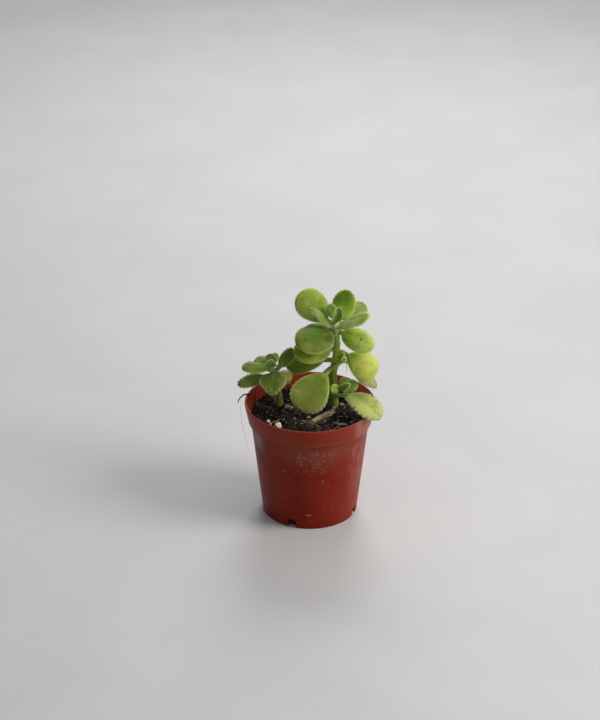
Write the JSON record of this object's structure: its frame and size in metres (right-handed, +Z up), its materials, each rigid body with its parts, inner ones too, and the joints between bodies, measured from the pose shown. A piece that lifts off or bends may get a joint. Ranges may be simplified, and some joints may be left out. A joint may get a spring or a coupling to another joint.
{
  "type": "potted plectranthus",
  "caption": "Small fleshy plectranthus with scalloped, downy leaves on two stems, in a tapered round plastic nursery pot filled with dark soil.",
  "frame": {"origin": "middle of the pot's flat underside", "axes": "+Z up along the pot's axis, -Y towards the best side, +X to the right seen from there"},
  "size_m": [0.067, 0.06, 0.1048],
  "materials": {
    "pot_plastic": "moulded terracotta-red polypropylene, slightly scuffed",
    "soil": "moist dark peat mix",
    "stem": "green, downy",
    "leaf_fresh": "bright green, downy",
    "leaf_mid": "mid green, downy",
    "leaf_dark": "dark green, downy",
    "leaf_pale": "pale grey-green, downy",
    "leaf_yellow": "yellow-green, downy",
    "bark": "split dry bark",
    "perlite": "chalky white, porous"
  },
  "bodies": {
    "root": {"pot": "pot_plastic", "soil": "soil", "main_stem": "stem", "left_stem": "stem", "leaf_top_left_back": "leaf_fresh", "leaf_top_left_edge": "leaf_pale", "leaf_top_back": "leaf_dark", "leaf_top_right_small": "leaf_pale", "leaf_top_right_front": "leaf_pale", "leaf_upper_front_left": "leaf_mid", "leaf_upper_left_back": "leaf_pale", "leaf_upper_right": "leaf_fresh", "leaf_middle_front_left": "leaf_mid", "leaf_middle_right": "leaf_yellow", "leaf_middle_left_dark": "leaf_dark", "leaf_low_front_left": "leaf_mid", "leaf_low_right_back": "leaf_mid", "leaf_base_right_front": "leaf_yellow", "leaf_middle_back": "leaf_mid", "leaf_base_left_back": "leaf_mid", "leaf_left_upper": "leaf_fresh", "leaf_left_lower": "leaf_dark", "leaf_left_front": "leaf_mid", "leaf_left_right_front": "leaf_yellow", "leaf_left_back": "leaf_pale", "leaf_left_right_up": "leaf_dark", "tip_bud": "leaf_fresh", "left_bud": "leaf_fresh", "middle_side_shoot": "leaf_mid", "low_side_shoot": "leaf_mid", "bark_chip": "bark", "perlite_grain_1": "perlite", "perlite_grain_2": "perlite", "perlite_grain_3": "perlite", "perlite_grain_4": "perlite", "perlite_grain_5": "perlite"}
  },
  "joints": []
}
